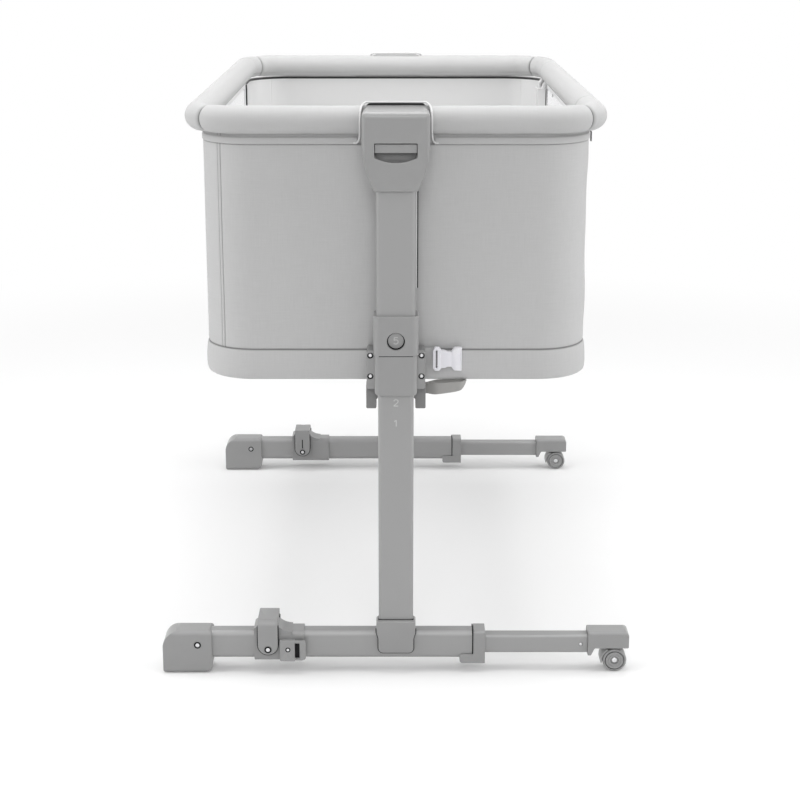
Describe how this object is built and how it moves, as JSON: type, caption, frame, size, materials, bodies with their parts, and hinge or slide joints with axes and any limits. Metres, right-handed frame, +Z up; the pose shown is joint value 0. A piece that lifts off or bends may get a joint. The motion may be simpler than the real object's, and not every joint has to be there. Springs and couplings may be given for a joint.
{
  "type": "bedside sleeper crib",
  "caption": "Bedside sleeper crib: padded cloth basket with drop-down mesh side, hung between telescopic columns on sliding feet with casters and pedal locks.",
  "frame": {"origin": "on the floor, under the middle of the crib", "axes": "+Z up, +Y along the basket from the near end to the far end, +X towards the parents' bed, where the side drops and the casters are"},
  "size_m": [0.68, 0.948, 0.822],
  "materials": {
    "cloth_grey": "plain woven linen-look cloth",
    "cloth_pad": "woven cloth over foam",
    "mesh": "open white mesh",
    "mattress": "knitted cover over foam",
    "board": "plain hardboard",
    "zip": "black zip tape",
    "webbing": "woven webbing",
    "plastic": "fine satin moulded grain",
    "buckle": "smooth",
    "coated_tube": "matt powder coat",
    "steel": "zinc plated"
  },
  "bodies": {
    "basket": {"top_frame": "coated_tube", "rail_pad_near": "cloth_pad", "rail_pad_far": "cloth_pad", "rail_pad_left": "cloth_pad", "rail_pad_corners": "cloth_pad", "bottom_frame": "coated_tube", "base_board": "board", "mattress": "mattress", "shell_near": "cloth_grey", "shell_far": "cloth_grey", "side_panel_left": "mesh", "drop_side_panel": "mesh", "hem_band": "cloth_grey", "guide_posts": "coated_tube", "zip_tapes": "zip", "clamp_screws": "steel", "cover_strips": "plastic", "strap_webbing": "webbing", "buckle_plug": "buckle", "buckle_socket": "buckle", "hub_near": "plastic", "hub_far": "plastic", "upper_tube_near": "coated_tube", "upper_tube_far": "coated_tube", "collar_near": "plastic", "collar_far": "plastic", "clamp_cover_near": "plastic", "clamp_cover_far": "plastic", "rear_bracket_near": "plastic", "rear_bracket_far": "plastic"},
    "drop_side": {"drop_rail_tube": "coated_tube", "drop_rail_pad": "cloth_pad", "drop_rail_shoes": "plastic"},
    "leg_near": {"column_near": "coated_tube", "column_socket_near": "plastic", "foot_tube_near": "coated_tube", "foot_cap_near": "plastic", "foot_collar_near": "plastic", "lock_bracket_near": "plastic", "leg_screws_near": "steel"},
    "release_near": {"release_lever_near": "plastic"},
    "slider_near": {"inner_tube_near": "coated_tube", "wheel_cap_near": "plastic"},
    "pedal_near": {"pedal_near": "plastic"},
    "caster_near": {"caster_yoke_near": "plastic"},
    "wheels_near": {"wheels_near": "plastic"},
    "leg_far": {"column_far": "coated_tube", "column_socket_far": "plastic", "foot_tube_far": "coated_tube", "foot_cap_far": "plastic", "foot_collar_far": "plastic", "lock_bracket_far": "plastic", "leg_screws_far": "steel"},
    "release_far": {"release_lever_far": "plastic"},
    "slider_far": {"inner_tube_far": "coated_tube", "wheel_cap_far": "plastic"},
    "pedal_far": {"pedal_far": "plastic"},
    "caster_far": {"caster_yoke_far": "plastic"},
    "wheels_far": {"wheels_far": "plastic"}
  },
  "joints": [
    {"name": "side_drop", "type": "slide", "parent": "basket", "child": "drop_side", "axis": [0, 0, -1], "range_m": [0, 0.14], "deforming": ["drop_side_panel"]},
    {"name": "height_near", "type": "slide", "parent": "basket", "child": "leg_near", "axis": [0, 0, 1], "range_m": [0, 0.12]},
    {"name": "release_near", "type": "slide", "parent": "basket", "child": "release_near", "axis": [0, 0, 1], "range_m": [0, 0.008], "stiffness_N_per_m": 400},
    {"name": "foot_near", "type": "slide", "parent": "leg_near", "child": "slider_near", "axis": [-1, 0, 0], "range_m": [0, 0.11]},
    {"name": "pedal_near", "type": "hinge", "parent": "leg_near", "child": "pedal_near", "pos_m": [-0.186, -0.45, 0.04], "axis": [0, 1, 0], "range_deg": [-25, 0], "stiffness_Nm_per_rad": 0.5},
    {"name": "swivel_near", "type": "hinge", "parent": "slider_near", "child": "caster_near", "pos_m": [0.312, -0.45, 0.045], "axis": [0, 0, 1], "continuous": true},
    {"name": "wheel_near", "type": "hinge", "parent": "caster_near", "child": "wheels_near", "pos_m": [0.32, -0.45, 0.0175], "axis": [0, 1, 0], "continuous": true},
    {"name": "height_far", "type": "slide", "parent": "basket", "child": "leg_far", "axis": [0, 0, 1], "range_m": [0, 0.12]},
    {"name": "release_far", "type": "slide", "parent": "basket", "child": "release_far", "axis": [0, 0, 1], "range_m": [0, 0.008], "stiffness_N_per_m": 400},
    {"name": "foot_far", "type": "slide", "parent": "leg_far", "child": "slider_far", "axis": [-1, 0, 0], "range_m": [0, 0.11]},
    {"name": "pedal_far", "type": "hinge", "parent": "leg_far", "child": "pedal_far", "pos_m": [-0.186, 0.45, 0.04], "axis": [0, 1, 0], "range_deg": [-25, 0], "stiffness_Nm_per_rad": 0.5},
    {"name": "swivel_far", "type": "hinge", "parent": "slider_far", "child": "caster_far", "pos_m": [0.312, 0.45, 0.045], "axis": [0, 0, 1], "continuous": true},
    {"name": "wheel_far", "type": "hinge", "parent": "caster_far", "child": "wheels_far", "pos_m": [0.32, 0.45, 0.0175], "axis": [0, 1, 0], "continuous": true}
  ]
}
